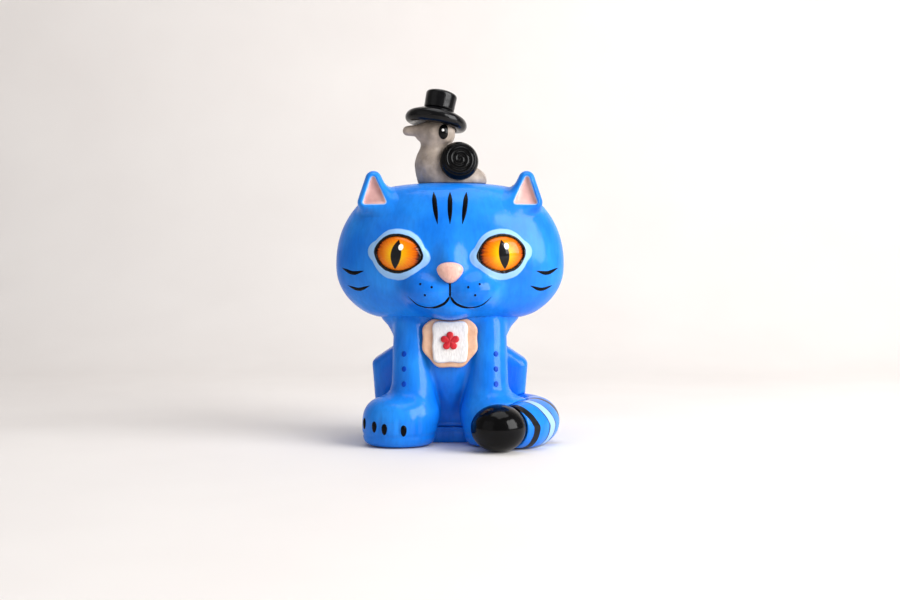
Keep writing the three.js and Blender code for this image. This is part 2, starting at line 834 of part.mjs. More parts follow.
const paint = (color, roughness) => new THREE.MeshStandardMaterial({ color, roughness });
const BLUE = paint("#1f7fe6", 0.3);
const BLACK = paint("#101014", 0.25);
const AMBER = paint("#f28a10", 0.12);
const PINK = paint("#e3b0a2", 0.4);
const SAND = paint("#edc3a6", 0.6);
const WHITE = paint("#f4f2f2", 0.55);
const RED = paint("#d8192c", 0.45);
const GREY = paint("#b3a69c", 0.55);
const BEECH = paint("#c79c6b", 0.7);

const GAP = GLUE_GAP;
const SIDES = [
  ["left", -1],
  ["right", 1],
];

// Body, standing over the plinth, with the dowel holes that the other pieces use.
add("base_plinth", plinthSlab().add(plinthPlug()), BLUE);
const bore = rod(
  at(0, NECK_AXIS_BACK, HOLLOW_TOP - 10),
  at(0, NECK_AXIS_BACK, NECK_HEIGHT + SPIGOT_HEIGHT + 5),
  SPIGOT_BORE,
  24,
);
const bodyShell = cut(
  bodyBlock(),
  floor,
  plinthSlab(GAP),
  bodyHollow(),
  bore,
  tailPin(GAP),
  plaquePin(GAP),
);
add("body_shell", bodyShell, BLUE);

// Head, over the neck spigot.
const eyes = SIDES.map(([name, side]) => [name, side, eye(side)]);
const headShell = cut(
  headOutside(),
  bodyBlock(GAP),
  headHollow(),
  ...SIDES.map(([, side]) => eye(side, GAP)),
  nose(GAP),
  ...SIDES.map(([, side]) => earPin(side, GAP)),
  snailPin(GAP),
);
add("head_shell", headShell, BLUE);
for (const [name, , made] of eyes) add(`eye_${name}`, made, AMBER);
add("nose", nose(), PINK);

for (const [name, side] of SIDES) {
  const ear = cut(earBlank(side), earScoop(side), headOutside(GAP), earPin(side, GAP));
  add(`ear_${name}`, ear, BLUE);
  add(`ear_pin_${name}`, earPin(side), BEECH);
}

// Tail, laid round the right haunch and over the right paw.
const tail = cut(
  tailSweep(),
  floor,
  ...haunches(GAP),
  torso(PLINTH_HEIGHT - 2, NECK_HEIGHT, GAP),
  plinthSlab(GAP),
  tailTipBall(GAP),
  tailPin(GAP),
  tailTipPin(GAP),
);
add("tail", tail, BLUE);
add("tail_tip", cut(tailTipBall(), floor, tailTipPin(GAP)), BLACK);
add("tail_pin", tailPin(), BEECH);
add("tail_tip_pin", tailTipPin(), BEECH);

// Plaque, tile and flower, each on the one behind it.
add("plaque", cut(plaque(), bodyBlock(GAP), headOutside(GAP), plaquePin(GAP)), SAND);
add("plaque_pin", plaquePin(), BEECH);
add("tile", cut(tile(), headOutside(GAP)), WHITE);
add("flower", flower(), RED);

// Snail and its hat.
const snail = cut(
  snailBlock(),
  headOutside(GAP),
  snailShell(GAP),
  snailEye(-1, GAP),
  snailEye(1, GAP),
  snailPin(GAP),
  hatPin(GAP),
);
add("snail_body", snail, GREY);
add("snail_shell", cut(snailShell(), headOutside(GAP)), BLACK);
add("snail_eye_front", snailEye(-1), BLACK);
add("snail_eye_back", snailEye(1), BLACK);
add("snail_pin", snailPin(), BEECH);
const snailHead = [snailBlock(GAP), snailEye(-1, GAP), snailEye(1, GAP)];
add("hat_brim", cut(hatBrim(), ...snailHead, hatPin(GAP)), BLACK);
add("hat_crown", cut(hatCrown(), hatPin(GAP)), BLACK);
add("hat_pin", hatPin(), BEECH);

export default figure;
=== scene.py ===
"""The looks of a painted cat figure that carries a snail in a hat.

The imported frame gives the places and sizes. Each form is sculpted as a field: a function of
points in millimetres that is negative inside the form and positive outside it, and close to
the distance from its surface. A mesh is drawn where the field is zero. Painted marks are
closed beads of paint laid on that surface, and larger painted areas are distances stored on
the mesh, which the paint's material reads.
"""

from math import atan, cos, pi, radians, sin, tau

import bpy
import numpy as np
from mathutils import Matrix, Vector


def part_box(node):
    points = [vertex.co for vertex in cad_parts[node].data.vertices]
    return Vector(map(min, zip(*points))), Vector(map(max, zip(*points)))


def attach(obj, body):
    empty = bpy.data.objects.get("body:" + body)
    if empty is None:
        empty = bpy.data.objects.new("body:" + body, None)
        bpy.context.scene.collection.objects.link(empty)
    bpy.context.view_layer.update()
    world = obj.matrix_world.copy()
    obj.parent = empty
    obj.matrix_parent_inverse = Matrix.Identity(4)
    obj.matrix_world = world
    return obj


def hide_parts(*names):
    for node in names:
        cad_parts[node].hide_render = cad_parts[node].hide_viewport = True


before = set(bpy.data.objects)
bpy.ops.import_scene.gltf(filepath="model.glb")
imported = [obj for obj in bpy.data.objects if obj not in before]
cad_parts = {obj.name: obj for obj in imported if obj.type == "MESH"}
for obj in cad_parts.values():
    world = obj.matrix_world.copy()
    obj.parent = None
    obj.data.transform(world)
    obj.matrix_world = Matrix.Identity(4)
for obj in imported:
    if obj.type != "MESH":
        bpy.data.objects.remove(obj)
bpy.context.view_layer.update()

MM = 0.001  # metres in a millimetre
SIDES = (("left", -1), ("right", 1))


def place(*values):
    return np.array(values, float)


def box(node):
    """Lowest and highest corner of a CAD node, in millimetres."""
    low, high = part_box(node)
    return np.array(low) / MM, np.array(high) / MM


# ------------------------------------------------------------------ sizes from the frame

HEAD_LOW, HEAD_HIGH = box("head_shell")
BODY_LOW, BODY_HIGH = box("body_shell")
JAW = HEAD_LOW[2] - 0.9
CROWN = HEAD_HIGH[2]
CHEEK = HEAD_HIGH[0]  # half the head's width
MUZZLE = HEAD_LOW[1]  # the foremost point of the muzzle
NAPE = HEAD_HIGH[1]
HAUNCH = BODY_HIGH[0]
RUMP = BODY_HIGH[1]
PAW_SIDE = -BODY_LOW[0]
PAW_FRONT = BODY_LOW[1]


# ------------------------------------------------------------------ fields

def norm(v):
    return np.sqrt((v * v).sum(-1))


def soft_join(a, b, reach):
    """Both forms, with a fillet of about this reach where they meet."""
    overlap = np.maximum(reach - np.abs(a - b), 0) / reach
    return np.minimum(a, b) - overlap * overlap * reach / 4


def soft_keep(a, b, reach):
    """What the two forms share, with its edge rounded."""
    return -soft_join(-a, -b, reach)


def oval(p, centre, radii, square=2.0):
    """An ellipsoid. Where square is over 2 it is boxier from the side, still round from above."""
    q = np.abs(p - centre) / radii + 1e-9
    plan = np.hypot(q[:, 0], q[:, 1])
    size = (plan**square + q[:, 2] ** square) ** (1 / square)
    q[:, :2] *= (plan / size)[:, None] ** (square - 2)
    q[:, 2] *= (q[:, 2] / size) ** (square - 2)
    return (size - 1) / norm(q / size[:, None] / radii)


def limb(p, start, end, thick, thin):
    """A round-ended rod whose radius runs from thick at its start to thin at its end."""
    along = end - start
    share = np.clip((p - start) @ along / (along @ along), 0, 1)
    return norm(p - start - share[:, None] * along) - (thick + (thin - thick) * share)


def flow(t, knots, values):
    """A smooth curve through the values at the knots, which never overshoots them."""
    gap = np.diff(knots)
    rise = np.diff(values) / gap
    product = rise[:-1] * rise[1:]
    total = rise[:-1] + rise[1:]
    slope = np.zeros(len(knots))
    slope[1:-1] = np.where(product > 0, 2 * product / np.where(total == 0, 1, total), 0)
    slope[0], slope[-1] = rise[0], rise[-1]
    t = np.clip(t, knots[0], knots[-1])
    i = np.clip(np.searchsorted(knots, t, side="right") - 1, 0, len(gap) - 1)
    u = (t - knots[i]) / gap[i]
    bend = gap[i] * u * (1 - u) * (slope[i] * (1 - u) - slope[i + 1] * u)
    return values[i] * (1 + 2 * u) * (1 - u) ** 2 + values[i + 1] * u * u * (3 - 2 * u) + bend


def stack(p, levels):
    """Oval sections stacked in height: (height, half width, front, back, squareness) each."""
    heights, *sizes = np.array(levels, float).T
    half_width, front, back, square = (flow(p[:, 2], heights, size) for size in sizes)
    depth = np.where(p[:, 1] < 0, front, back)
    across = (np.abs(p[:, 0]) / half_width) ** square
    along = (np.abs(p[:, 1]) / depth) ** square
    tiny = 1e-6
    share = (across + along) ** (1 / square) + tiny / half_width
    return (np.hypot(p[:, 0], p[:, 1]) + tiny) * (1 - 1 / share)


def curve(points, count):
    """Points spread along a smooth curve through the given points."""
    points = np.asarray(points, float)
    padded = np.vstack([2 * points[0] - points[1], points, 2 * points[-1] - points[-2]])
    t = np.linspace(0, len(points) - 1, count)
    i = np.minimum(t.astype(int), len(points) - 2)
    u = (t - i)[:, None]
    a, b, c, d = (padded[i + k] for k in range(4))
    return b + 0.5 * u * (c - a + u * (2 * a - 5 * b + 4 * c - d + u * (3 * b - a - 3 * c + d)))


def slope_of(field, p, reach=0.05):
    here = field(p)
    steps = [field(p + reach * axis) - here for axis in np.eye(3)]
    return here, np.stack(steps, -1) / reach


def settle(p, field, rounds=3):
    """Moves points straight onto the field's surface."""
    for _ in range(rounds):
        here, slope = slope_of(field, p)
        move = slope * (here / np.maximum((slope * slope).sum(-1), 0.05))[:, None]
        p = p - move / np.maximum(norm(move), 1)[:, None]
    return p


def outward(field, p):
    slope = slope_of(field, p)[1]
    return slope / np.maximum(norm(slope), 1e-6)[:, None]


# ------------------------------------------------------------------ meshes

def new_piece(name, points, faces, areas=None):
    """A smooth-shaded mesh object. Areas are values for each point, kept for the paint."""
    mesh = bpy.data.meshes.new(name)
    mesh.from_pydata((np.asarray(points) * MM).tolist(), [], faces)
    mesh.shade_smooth()
    for area, values in (areas or {}).items():
        layer = mesh.attributes.new(area, "FLOAT", "POINT")
        layer.data.foreach_set("value", np.asarray(values, np.float32))
    piece = bpy.data.objects.new(name, mesh)
    bpy.context.scene.collection.objects.link(piece)
    return piece


COARSE = 4  # fine grid steps in one coarse cell


def grid_values(field, low, counts, step):
    """The field on a grid: exact near its surface, and only the right sign elsewhere."""
    cell = step * COARSE
    places = [low[i] + cell * (np.arange(counts[i]) + 0.5) for i in range(3)]
    middles = np.stack(np.meshgrid(*places, indexing="ij"), -1).reshape(-1, 3)
    rough = field(middles).reshape(counts)
    near = np.abs(rough) < 1.7 * cell
    fine = np.full(counts * COARSE + 1, 1e3)
    wanted = np.zeros(fine.shape, bool)
    for axis in range(3):
        rough = rough.repeat(COARSE, axis)
        near = near.repeat(COARSE, axis)
    fine[:-1, :-1, :-1] = rough
    for shift in np.ndindex(2, 2, 2):
        wanted[tuple(slice(s, s + n) for s, n in zip(shift, near.shape))] |= near
    spots = np.argwhere(wanted)
    fine[wanted] = field(low + spots * step)
    return fine


def net(value, low, step):
    """One point in each grid cell that the surface crosses, and the quads between them."""
    inside = value < 0
    cells = np.array(inside.shape) - 1
    count = sum(
        inside[i:i + cells[0], j:j + cells[1], k:k + cells[2]].astype(np.int8)
        for i, j, k in np.ndindex(2, 2, 2)
    )
    crossed = (count > 0) & (count < 8)
    index = np.full(crossed.shape, -1)
    index[crossed] = np.arange(crossed.sum())
    points = low + (np.argwhere(crossed) + 0.5) * step
    quads = []
    for axis in range(3):
        here = np.moveaxis(inside, axis, 0)
        changes = here[:-1, 1:-1, 1:-1] != here[1:, 1:-1, 1:-1]
        spots = np.argwhere(changes)
        outwards = here[:-1, 1:-1, 1:-1][changes]
        turned = np.moveaxis(index, axis, 0)
        i, j, k = spots.T
        corners = [turned[i, j + a, k + b] for a, b in ((0, 0), (1, 0), (1, 1), (0, 1))]
        quad = np.stack(corners, 1)
        flip = outwards == (axis == 1)
        quad[flip] = quad[flip][:, ::-1]
        quads.append(quad)
    return points, np.vstack(quads)


def even_out(points, quads):
    """Moves each point to the middle of its neighbours."""
    start = quads.ravel()
    for end in (np.roll(quads, -1, 1).ravel(),):
        number = np.bincount(start, minlength=len(points)) + np.bincount(end, minlength=len(points))
        total = np.stack([
            np.bincount(start, points[end, i], len(points))
            + np.bincount(end, points[start, i], len(points))
            for i in range(3)
        ], 1)
    return total / number[:, None]


def sculpt(name, field, low, high, step=1.0, areas=None):
    """Draws a field's surface as a mesh of even quads about a step apart."""
    margin = 2 * step
    low = np.asarray(low, float) - margin
    counts = np.ceil((np.asarray(high) + margin - low) / (step * COARSE)).astype(int)
    points, quads = net(grid_values(field, low, counts, step), low, step)
    points = settle(points, field, 3)
    for _ in range(2):
        points = settle(even_out(points, quads), field, 2)
    made = {area: measure(points) for area, measure in (areas or {}).items()}
    # how closed in each point is; the blue paint darkens with it, as painted shade in the hollows
    made["hollow"] = 1 - np.clip(field(points + 7 * outward(field, points)) / 7, 0, 1)
    return new_piece(name, points, quads.tolist(), made)


def skin(rings, closed=False):
    """Points and faces of a tube through rings of points, with its two ends filled."""
    count, sides = rings.shape[:2]
    index = np.arange(count * sides).reshape(count, sides)
    ahead = np.roll(index, -1, 0) if closed else index[1:]
    here = index if closed else index[:-1]
    quads = np.stack([here, np.roll(here, -1, 1), np.roll(ahead, -1, 1), ahead], -1)
    faces = quads.reshape(-1, 4).tolist()
    if not closed:
        faces += [index[0][::-1].tolist(), index[-1].tolist()]
    return rings.reshape(-1, 3), faces


def joined(name, parts):
    """One piece from several closed skins."""
    points, faces, start = [], [], 0
    for part_points, part_faces in parts:
        points.append(part_points)
        faces += [[start + i for i in face] for face in part_faces]
        start += len(part_points)
    return new_piece(name, np.vstack(points), faces)


# ------------------------------------------------------------------ beads of paint

def front_of(field, x, z, start=-75.0):
    """The first points of a form met at these places, coming from the front."""
    y = np.full(len(x), start)
    for _ in range(70):
        y = y + 0.6 * np.clip(field(np.stack([x, y, z], 1)), -4, 6)
    return np.stack([x, y, z], 1)


def bead(field, centres, widths, height, closed=False):
    """A closed bead of paint along points of a form's surface."""
    centres = settle(centres, field)
    if closed:
        ahead = np.roll(centres, -1, 0) - np.roll(centres, 1, 0)
    else:
        ahead = np.gradient(centres, axis=0)
    across = np.cross(outward(field, centres), ahead)
    across /= norm(across)[:, None]
    u = np.linspace(-1, 1, 9)
    spread = across[:, None] * (u[:, None] * widths[:, None, None] / 2)
    flat = settle((centres[:, None] + spread).reshape(-1, 3), field)
    out = outward(field, flat)
    thin = np.minimum(widths / widths.max(), 1)[:, None]
    rise = (height * thin * (1 - u**2) ** 0.6 + 0.04).reshape(-1, 1)
    shape = (len(centres), len(u), 3)
    top = (flat + out * rise).reshape(shape)
    under = (flat - out * 0.4).reshape(shape)[:, -2:0:-1]
    return skin(np.concatenate([top, under], 1), closed)


def stroke(field, route, width, height=0.22, side=1, taper=(0.15, 0.15), count=40):
    """A tapering brush stroke along (x, z) places seen from the front."""
    line = curve(route, count)
    centres = front_of(field, side * line[:, 0], line[:, 1])
    t = np.linspace(0, 1, count)
    start, end = taper
    full = np.minimum(np.clip(t / start, 0, 1), np.clip((1 - t) / end, 0, 1))
    return bead(field, centres, width * (0.06 + 0.94 * np.sin(full * pi / 2)), height)


def dab(field, x, z, width, length, tilt=0.0, height=0.5, point=0.0):
    """A single press of the brush, rounded, or pointed at its lower end."""
    t = np.linspace(-1, 1, 15)
    down = length / 2 * t
    centres = front_of(field, x + down * sin(tilt), z - down * cos(tilt))
    widths = width * np.sqrt(np.maximum(1 - t * t, 0.004)) * (1 - point * (t + 1) / 2)
    return bead(field, centres, widths, height)


# ------------------------------------------------------------------ materials

def hue(code):
    """A linear colour from an sRGB hex value."""
    srgb = [int(code[i:i + 2], 16) / 255 for i in (1, 3, 5)]
    return [c / 12.92 if c <= 0.04045 else ((c + 0.055) / 1.055) ** 2.4 for c in srgb] + [1.0]


def add(tree, kind, inputs=None, **settings):
    """Adds a node with its settings, and fills its inputs with values or other outputs."""
    node = tree.nodes.new(kind)
    for name, value in settings.items():
        setattr(node, name, value)
    for name, value in (inputs or {}).items():
        if isinstance(value, bpy.types.NodeSocket):
            tree.links.new(value, node.inputs[name])
        else:
            node.inputs[name].default_value = value
    return node


def new_material(name):
    material = bpy.data.materials.new(name)
    material.use_nodes = True
    tree = material.node_tree
    return material, tree, tree.nodes["Principled BSDF"]


def noise(tree, size, detail=2.0, stretch=(1, 1, 1)):
    """Noise with grains about this many millimetres across, as a value around 0.5."""
    where = add(tree, "ShaderNodeTexCoord").outputs["Object"]
    scaled = add(tree, "ShaderNodeMapping", {"Vector": where, "Scale": stretch})
    inputs = {"Vector": scaled.outputs[0], "Scale": 1 / (size * MM), "Detail": detail}
    return add(tree, "ShaderNodeTexNoise", inputs).outputs[0]


def math(tree, operation, a, b=0.0, clamp=False):
    node = add(tree, "ShaderNodeMath", {0: a, 1: b}, operation=operation, use_clamp=clamp)
    return node.outputs[0]


def mixed(tree, share, below, above):
    """The colour above laid over the colour below, by this share."""
    node = add(tree, "ShaderNodeMix", {0: share, 6: below, 7: above}, data_type="RGBA")
    return node.outputs[2]


def spread(tree, value, low, high):
    """0 to 1 as the value runs from low to high."""
    inputs = {"Value": value, "From Min": low, "From Max": high}
    return add(tree, "ShaderNodeMapRange", inputs).outputs[0]


def area_value(tree, name):
    return add(tree, "ShaderNodeAttribute", attribute_name=name).outputs["Fac"]


def painted(tree, area, edge, soft=0.15, wobble=0.35, grain=4.0):
    """1 where a stored distance is under the edge, with a hand-painted border."""
    hand = math(tree, "MULTIPLY_ADD", noise(tree, grain), 2 * wobble)
    hand.node.inputs[2].default_value = -wobble
    distance = math(tree, "ADD", area_value(tree, area), hand)
    return spread(tree, distance, edge + soft, edge - soft)


def relief(tree, shader, *layers):
    """Bumps the surface by layers of (height in mm, value)."""
    normal = None
    for height, value in layers:
        inputs = {"Height": value, "Distance": height * MM, "Strength": 1.0}
        if normal:
            inputs["Normal"] = normal
        normal = add(tree, "ShaderNodeBump", inputs).outputs[0]
    tree.links.new(normal, shader.inputs["Normal"])
    if shader.inputs["Coat Weight"].default_value:
        tree.links.new(normal, shader.inputs["Coat Normal"])


def set_values(shader, **values):
    for name, value in values.items():
        shader.inputs[name.replace("_", " ")].default_value = value


BLUE = hue("#0375e6")
BLUE_DEEP = hue("#0051b2")
BLUE_LIGHT = hue("#1f8ff6")
BLUE_PALE = hue("#98c6f7")
INK = hue("#0b0b0f")


def varnished_blue(name, lay_areas=None):
    """Gypsum casting under acrylic paint and gloss varnish, laid on by brush.
    Shade is painted in: the blue turns darker in the hollows. The brush leaves faint streaks and the
    varnish gives soft-edged highlights over a slightly wavy ground."""
    material, tree, shader = new_material(name)
    set_values(shader, Roughness=0.5, IOR=1.3, Specular_IOR_Level=0.25, Coat_Weight=0.4,
               Coat_Roughness=0.07, Coat_IOR=1.45)
    cloudy = spread(tree, noise(tree, 30, 3), 0.35, 0.68)
    streaks = spread(tree, noise(tree, 2.2, 2, (1, 1, 0.22)), 0.38, 0.75)
    colour = mixed(tree, cloudy, BLUE, BLUE_LIGHT)
    colour = mixed(tree, math(tree, "MULTIPLY", streaks, 0.22), colour, BLUE_DEEP)
    # painted shade: deeper blue in the hollows, where less light reaches
    hollow_shade = spread(tree, area_value(tree, "hollow"), 0.25, 1.1)
    colour = mixed(tree, hollow_shade, colour, BLUE_DEEP)
    if lay_areas:
        colour = lay_areas(tree, colour)
    tree.links.new(colour, shader.inputs["Base Color"])
    relief(tree, shader, (0.55, noise(tree, 14, 1)), (0.10, noise(tree, 2.4, 2, (1, 1, 0.25))),
           (0.035, noise(tree, 0.6, 2)))
    return material


def lay_face(tree, colour):
    """Pale lids round the eyes, and the dark line along each lid's edge."""
    colour = mixed(tree, painted(tree, "lid", 0.0, 0.3, 0.5, 7), colour, BLUE_PALE)
    return mixed(tree, painted(tree, "lash", 0.0, 0.12, 0.2), colour, INK)


def lay_ear(tree, colour):
    shade = mixed(tree, spread(tree, noise(tree, 9, 2), 0.35, 0.7), hue("#e6b9b2"), hue("#cf9a96"))
    colour = mixed(tree, painted(tree, "inside", 0.6, 0.3, 0.3), colour, BLUE_PALE)
    return mixed(tree, painted(tree, "inside", 0.0, 0.25, 0.3), colour, shade)


def lay_bands(tree, colour):
    """The tail's bands: one broad black, one pale between two thin dark lines."""
    for start, end, code in BANDS:
        from_start = painted(tree, "along", end, 0.12, 0.45, 5)
        to_start = painted(tree, "along", start, 0.12, 0.45, 5)
        band = math(tree, "SUBTRACT", from_start, to_start, clamp=True)
        colour = mixed(tree, band, colour, hue(code))
    return colour


def brushed_enamel(name, code, roughness=0.16, wave=0.25, shine=0.2):
    """Gloss acrylic enamel, brushed on in one thick coat: deep colour and clear highlights
    that wander a little where the brush has left ridges."""
    material, tree, shader = new_material(name)
    set_values(shader, Roughness=roughness, IOR=1.45, Specular_IOR_Level=shine)
    worn = spread(tree, noise(tree, 5, 3), 0.45, 0.8)
    lift = [min(1, c * 1.5 + 0.003) for c in hue(code)[:3]] + [1.0]
    colour = mixed(tree, math(tree, "MULTIPLY", worn, 0.6), hue(code), lift)
    tree.links.new(colour, shader.inputs["Base Color"])
    relief(tree, shader, (wave, noise(tree, 9, 2)), (0.05, noise(tree, 1.4, 2, (1, 1, 0.3))))
    return material


def air_dry_clay(name, code, dark, roughness=0.55, grain=0.09):
    """Air-dry clay smoothed with a wet finger and thinly painted: a fine grain, shallow
    finger dents, and colour that stays darker in the dents."""
    material, tree, shader = new_material(name)
    set_values(shader, Roughness=roughness, IOR=1.46, Coat_Weight=0.12, Coat_Roughness=0.35)
    dents = noise(tree, 6, 3)
    colour = mixed(tree, spread(tree, dents, 0.35, 0.7), hue(dark), hue(code))
    tree.links.new(colour, shader.inputs["Base Color"])
    relief(tree, shader, (0.35, dents), (grain, noise(tree, 0.7, 3)))
    return material


def matte_acrylic(name, code, dark, ridges=0.12):
    """Undiluted craft acrylic dabbed on thickly: dull, with low ridges from the bristles."""
    material, tree, shader = new_material(name)
    set_values(shader, Roughness=0.48, IOR=1.48, Coat_Weight=0.2, Coat_Roughness=0.3)
    streaks = noise(tree, 1.1, 3, (1, 1, 0.35))
    colour = mixed(tree, spread(tree, streaks, 0.3, 0.7), hue(dark), hue(code))
    tree.links.new(colour, shader.inputs["Base Color"])
    relief(tree, shader, (ridges, streaks))
    return material


def turned_beech(name):
    """Turned beech dowel: short dark flecks along pale pinkish-brown wood, unfinished."""
    material, tree, shader = new_material(name)
    set_values(shader, Roughness=0.68, IOR=1.5)
    flecks = noise(tree, 0.5, 3, (1, 1, 0.12))
    colour = mixed(tree, spread(tree, flecks, 0.4, 0.7), hue("#c99f70"), hue("#a97b4e"))
    tree.links.new(colour, shader.inputs["Base Color"])
    relief(tree, shader, (0.05, flecks))
    return material


def domed_acrylic_eye(name):
    """A clear acrylic dome over a painted iris: yellow round the slit, amber, then a burnt
    edge and a black rim, with fine fibres running outwards under a wet-looking gloss."""
    material, tree, shader = new_material(name)
    set_values(shader, Roughness=0.3, IOR=1.4, Specular_IOR_Level=0.1, Coat_Weight=0.6,
               Coat_Roughness=0.02, Coat_IOR=1.4)
    across, up = area_value(tree, "across"), area_value(tree, "up")
    square = math(tree, "ADD", math(tree, "MULTIPLY", across, across),
                  math(tree, "MULTIPLY", up, up))
    radius = math(tree, "SQRT", square)
    angle = math(tree, "ARCTAN2", up, across)
    spokes = add(tree, "ShaderNodeCombineXYZ", {0: math(tree, "MULTIPLY", angle, 9.0),
                                                1: math(tree, "MULTIPLY", radius, 0.12)})
    fibres = add(tree, "ShaderNodeTexNoise",
                 {"Vector": spokes.outputs[0], "Scale": 1.6, "Detail": 3.0}).outputs[0]
    ragged = math(tree, "MULTIPLY_ADD", fibres, 5.0)
    tree.links.new(radius, ragged.node.inputs[2])
    colour = mixed(tree, spread(tree, ragged, 6.0, 12.0), hue("#ffc400"), hue("#f58200"))
    colour = mixed(tree, spread(tree, ragged, 12.0, 17.0), colour, hue("#b03a00"))
    colour = mixed(tree, spread(tree, ragged, 15.6, 17.4), colour, hue("#1a0a05"))
    narrow = math(tree, "DIVIDE", up, PUPIL_HEIGHT / 2)
    narrow = math(tree, "SUBTRACT", 1.0, math(tree, "MULTIPLY", narrow, narrow))
    beside = math(tree, "SUBTRACT", math(tree, "ABSOLUTE", across),
                  math(tree, "MULTIPLY", narrow, PUPIL_WIDTH / 2))
    colour = mixed(tree, spread(tree, beside, 0.2, -0.2), colour, INK)
    glint_x = math(tree, "DIVIDE", math(tree, "SUBTRACT", across, 2.6), 1.7)
    glint_z = math(tree, "DIVIDE", math(tree, "SUBTRACT", up, 5.2), 2.1)
    glint = math(tree, "ADD", math(tree, "MULTIPLY", glint_x, glint_x),
                 math(tree, "MULTIPLY", glint_z, glint_z))
    colour = mixed(tree, spread(tree, glint, 1.15, 0.85), colour, hue("#fdfdf8"))
    tree.links.new(colour, shader.inputs["Base Color"])
    return material


def studio_paper(name):
    """Seamless background paper: pale, matt and faintly mottled."""
    material, tree, shader = new_material(name)
    set_values(shader, Roughness=0.85, IOR=1.45)
    colour = mixed(tree, noise(tree, 120, 2), hue("#e9e4e1"), hue("#f1edea"))
    tree.links.new(colour, shader.inputs["Base Color"])
    return material


def put(piece, material, slot, *nodes):
    """Gives a piece its material and its place in the frame."""
    piece.data.materials.append(material)
    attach(piece, "root")
    if nodes:
        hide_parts(*nodes)
    return piece


# ------------------------------------------------------------------ eyes

EYE_TILT = 0.14
EYE_TURN = 0.3
PUPIL_WIDTH = 7.4
PUPIL_HEIGHT = 20.0
EYE_RADII = place(17.5, 6.5, 12.5)


def eye_frame(side):
    """The middle of an eye and its own axes: across, back and up."""
    low, high = box("eye_left" if side < 0 else "eye_right")
    turn = Matrix.Rotation(side * EYE_TURN, 3, "Z") @ Matrix.Rotation(-side * EYE_TILT, 3, "Y")
    return (low + high) / 2, np.array(turn)


def eye_narrowing(u):
    """How much thinner the lens is towards its corners."""
    return 1 - 0.35 * np.clip(np.abs(u), 0, 1) ** 4


def eye_field(p, side):
    middle, axes = eye_frame(side)
    q = (p - middle) @ axes
    narrow = eye_narrowing(q[:, 0] / EYE_RADII[0])
    q[:, 1:] /= narrow[:, None]
    return oval(q, np.zeros(3), EYE_RADII)


def make_eye(name, side, material):
    middle, axes = eye_frame(side)
    angle = np.arange(64) / 64 * tau
    bulge = np.linspace(-pi / 2 + 0.02, pi / 2 - 0.02, 41)
    u = np.cos(bulge)[:, None] * np.cos(angle)
    v = np.cos(bulge)[:, None] * np.sin(angle)
    w = np.broadcast_to(-np.sin(bulge)[:, None], u.shape)
    narrow = eye_narrowing(u)
    local = np.stack([u, w * narrow, v * narrow], -1) * EYE_RADII
    points, faces = skin(local)
    areas = {"across": points[:, 0], "up": points[:, 2]}
    piece = new_piece(name, points @ axes.T + middle, faces, areas)
    return put(piece, material, "amber_eye", name.replace("domed_", ""))


# ------------------------------------------------------------------ body

def trunk_field(p):
    front = 22.5
    return stack(p, [
        (8, 37, 13, RUMP - 3, 2.5),
        (30, 38, 17, RUMP - 1, 2.5),
        (55, 37.5, front, RUMP - 5, 2.3),
        (70, 38.8, front, RUMP - 9, 2.2),
        (79, 42.5, front + 1.5, RUMP - 8, 2.2),
        (85, 47.4, front + 3, RUMP - 6, 2.2),
        (94, 52, front + 5, RUMP - 4, 2.2),
    ])


def mirrored(p):
    q = p.copy()
    q[:, 0] = np.abs(p[:, 0])
    return q


TOES = (-0.62, -0.02, 0.58)  # angles of the dents between the toes, from straight ahead
SOLE = 8.0  # height of the crease above the sole


def body_field(p):
    q = mirrored(p)
    x, y, z = q.T
    form = trunk_field(p)
    chest = oval(p, place(0, -7, 60), place(27, 20.5, 37))
    form = soft_join(form, chest, 5)
    leg = limb(q, place(26.5, -14, 80), place(24.6, -21, 24), 12, 15.8)
    form = soft_join(form, leg, 3)
    middle = place(PAW_SIDE - 26.1, PAW_FRONT + 22, 13.4)
    paw = soft_keep(oval(q, middle, place(25, 23, 20.6), 2.8), -z, 5)
    facing = np.arctan2(x - middle[0], middle[1] - y)
    for toe in TOES:
        dent = np.exp(-(((facing - toe) * 20) / 1.3) ** 2)
        paw = paw + 0.75 * dent * np.clip((24 - z) / 8, 0, 1) * np.clip((z - SOLE) / 5, 0, 1)
    paw = paw + 0.55 * np.exp(-((z - SOLE) / 1.1) ** 2)
    form = soft_join(form, paw, 9)
    slant = 0.557 * (x - HAUNCH) + 0.83 * (z - 54.4)
    haunch = soft_keep(soft_keep(x - HAUNCH + 0.08 * (54 - z), slant, 2.5), 18 - x, 3)
    haunch = soft_keep(haunch, soft_keep(3.5 - y, y - RUMP, 8), 9)
    form = soft_join(form, haunch, 4)
    form = form + 0.35 * np.exp(-((z - 14.0) / 0.8) ** 2) * (y < 0) * (np.abs(p[:, 0]) < 12)
    return soft_keep(soft_keep(form, -z, 1.6), z - 92, 2)


def body_piece_field(p):
    """The body with room for the tail, its tip and the plinth."""
    form = body_field(p)
    form = soft_keep(form, 0.2 - tail_field(p), 0.5)
    form = soft_keep(form, 0.25 - tip_field(p), 0.6)
    return soft_keep(form, 0.3 - plinth_field(p), 0.5)


def plinth_field(p):
    low, high = box("base_plinth")
    form = stack(p, [(0, high[0] - 0.5, -low[1], high[1], 2.5), (12, high[0], -low[1], high[1], 2.5)])
    form = form + 0.45 * np.exp(-((p[:, 2] - 9.0) / 0.7) ** 2)
    return soft_keep(form, np.abs(p[:, 2] - 5.4) - 5.4, 1.5)


# ------------------------------------------------------------------ tail

